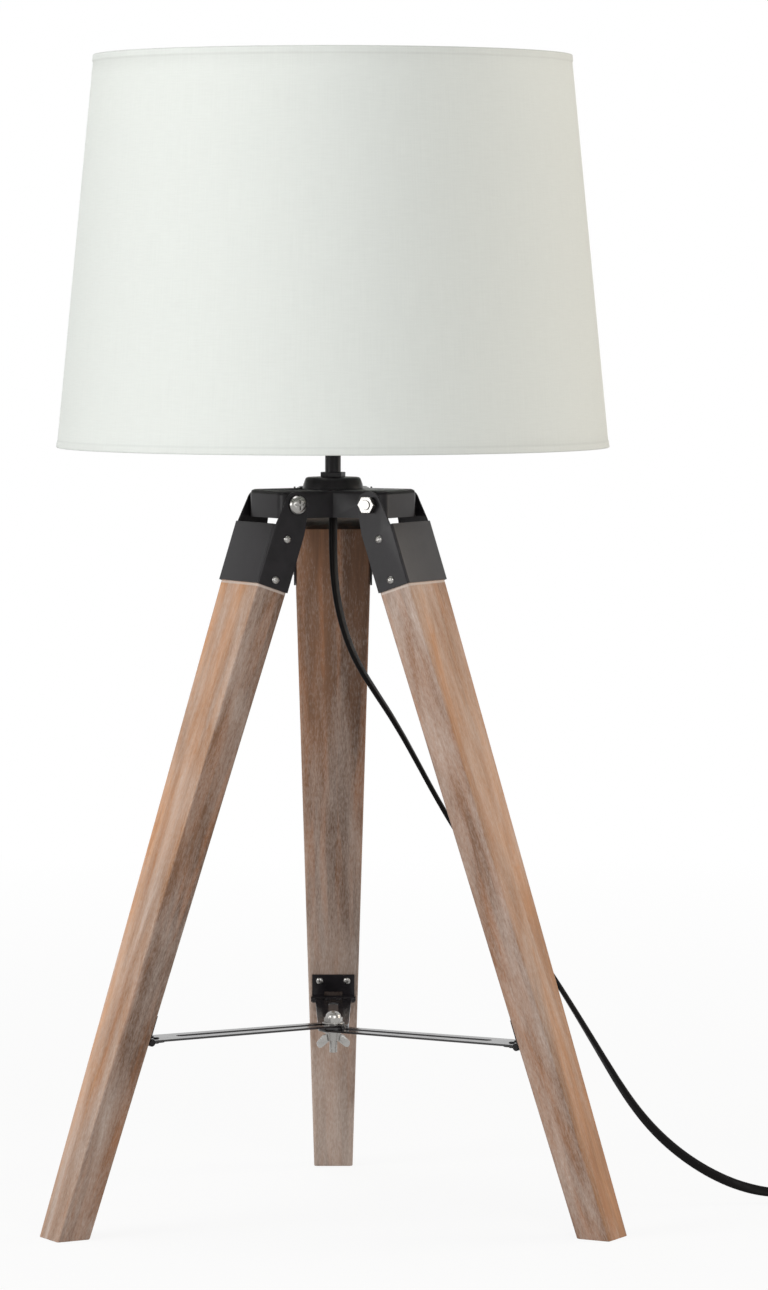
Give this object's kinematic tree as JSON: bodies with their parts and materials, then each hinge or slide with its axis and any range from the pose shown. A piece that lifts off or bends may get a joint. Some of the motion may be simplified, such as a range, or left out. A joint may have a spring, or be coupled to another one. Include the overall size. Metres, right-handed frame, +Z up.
{
  "type": "tripod table lamp",
  "caption": "Table lamp with a drum shade on a stem, three hinged wooden legs that fold inwards and a slotted spreader with a wing nut.",
  "frame": {"origin": "on the floor under the lamp's axis, midway between the three feet", "axes": "+Z up along the stem and the shade's axis, +Y towards the back leg, +X to the right as the lamp is seen from the front, the side the cord runs to"},
  "size_m": [0.6553, 0.3805, 0.7373],
  "materials": {
    "shade_fabric": "off-white woven cotton on a stiff backing",
    "white_wire": "white lacquered wire",
    "black_plastic": "moulded, satin",
    "pale_plastic": "moulded, matt",
    "brass": "plain",
    "cord_sheath": "smooth, satin",
    "leg_wood": "whitewashed, matt",
    "bright_zinc": "bright zinc plated",
    "black_steel": "satin black powder coat"
  },
  "bodies": {
    "head": {"lampholder_cap": "black_plastic", "lampholder_body": "black_plastic", "lampholder_base": "pale_plastic", "screw_shell": "brass", "centre_contact": "brass", "clamp_ring": "black_plastic", "stem_tube": "black_steel", "collar_nut": "black_steel", "hub_dome": "black_steel", "hub_shell": "black_steel", "lock_nut": "black_steel", "cord_bush": "black_plastic", "pivot_bolts": "bright_zinc", "pivot_nuts": "bright_zinc", "cord_drop": "cord_sheath", "cord_lead": "cord_sheath", "cord_coil": "cord_sheath", "cord_tail": "cord_sheath", "switch_base": "black_plastic", "switch_cover": "black_plastic", "switch_screws": "bright_zinc", "plug_body": "black_plastic", "plug_pins": "bright_zinc"},
    "shade": {"shade_cover": "shade_fabric", "shade_wire_top": "white_wire", "shade_wire_bottom": "white_wire", "shade_fitter": "white_wire"},
    "clamp": {"clamp_bolt": "bright_zinc", "clamp_washers": "bright_zinc"},
    "wing_nut": {"wing_nut": "bright_zinc"},
    "rocker": {"switch_rocker": "black_plastic"},
    "leg_a": {"leg_a_wood": "leg_wood", "leg_a_cap": "black_steel", "leg_a_cap_screws": "bright_zinc", "leg_a_leaf": "black_steel", "leg_a_leaf_screws": "bright_zinc", "hinge_pin_a": "black_steel"},
    "arm_a": {"arm_a": "black_steel", "arm_a_leaf": "black_steel", "arm_a_rivets": "black_steel"},
    "leg_b": {"leg_b_wood": "leg_wood", "leg_b_cap": "black_steel", "leg_b_cap_screws": "bright_zinc", "leg_b_leaf": "black_steel", "leg_b_leaf_screws": "bright_zinc", "hinge_pin_b": "black_steel"},
    "arm_b": {"arm_b": "black_steel", "arm_b_leaf": "black_steel", "arm_b_rivets": "black_steel"},
    "leg_c": {"leg_c_wood": "leg_wood", "leg_c_cap": "black_steel", "leg_c_cap_screws": "bright_zinc", "leg_c_leaf": "black_steel", "leg_c_leaf_screws": "bright_zinc", "hinge_pin_c": "black_steel"},
    "arm_c": {"arm_c": "black_steel", "arm_c_leaf": "black_steel", "arm_c_rivets": "black_steel"}
  },
  "joints": [
    {"name": "shade_turn", "type": "hinge", "parent": "head", "child": "shade", "pos_m": [0, 0, 0.541], "axis": [0, 0, 1], "continuous": true},
    {"name": "leg_a_fold", "type": "hinge", "parent": "head", "child": "leg_a", "pos_m": [0, 0.0404, 0.4547], "axis": [-1, 0, 0], "range_deg": [0, 18]},
    {"name": "arm_a_fold", "type": "hinge", "parent": "leg_a", "child": "arm_a", "pos_m": [0, 0.1392, 0.1188], "axis": [-1, 0, 0], "range_deg": [-18, 0]},
    {"name": "leg_b_fold", "type": "hinge", "parent": "head", "child": "leg_b", "pos_m": [-0.03499, -0.0202, 0.4547], "axis": [0.5, -0.866, 0], "range_deg": [0, 18]},
    {"name": "arm_b_fold", "type": "hinge", "parent": "leg_b", "child": "arm_b", "pos_m": [-0.12011, -0.06935, 0.1203], "axis": [0.5, -0.866, 0], "range_deg": [-18, 0]},
    {"name": "leg_c_fold", "type": "hinge", "parent": "head", "child": "leg_c", "pos_m": [0.03499, -0.0202, 0.4547], "axis": [0.5, 0.866, 0], "range_deg": [0, 18]},
    {"name": "arm_c_fold", "type": "hinge", "parent": "leg_c", "child": "arm_c", "pos_m": [0.12099, -0.06985, 0.1173], "axis": [0.5, 0.866, 0], "range_deg": [-18, 0]},
    {"name": "clamp_slide", "type": "slide", "parent": "arm_a", "child": "clamp", "axis": [0, 1, 0], "range_m": [0, 0.1085]},
    {"name": "wing_nut_turn", "type": "hinge", "parent": "clamp", "child": "wing_nut", "pos_m": [0, 0, 0.113], "axis": [0, 0, 1], "continuous": true},
    {"name": "rocker_tilt", "type": "hinge", "parent": "head", "child": "rocker", "pos_m": [0.351, 0.034, 0.0132], "axis": [0, 1, 0], "range_deg": [0, 16]}
  ],
  "couplings": [
    {"joint": "arm_a_fold", "follows": "leg_a_fold", "ratio": -1},
    {"joint": "leg_b_fold", "follows": "leg_a_fold", "ratio": 1},
    {"joint": "arm_b_fold", "follows": "leg_a_fold", "ratio": -1},
    {"joint": "leg_c_fold", "follows": "leg_a_fold", "ratio": 1},
    {"joint": "arm_c_fold", "follows": "leg_a_fold", "ratio": -1},
    {"joint": "clamp_slide", "follows": "leg_a_fold", "m_per_rad": 0.3445}
  ]
}
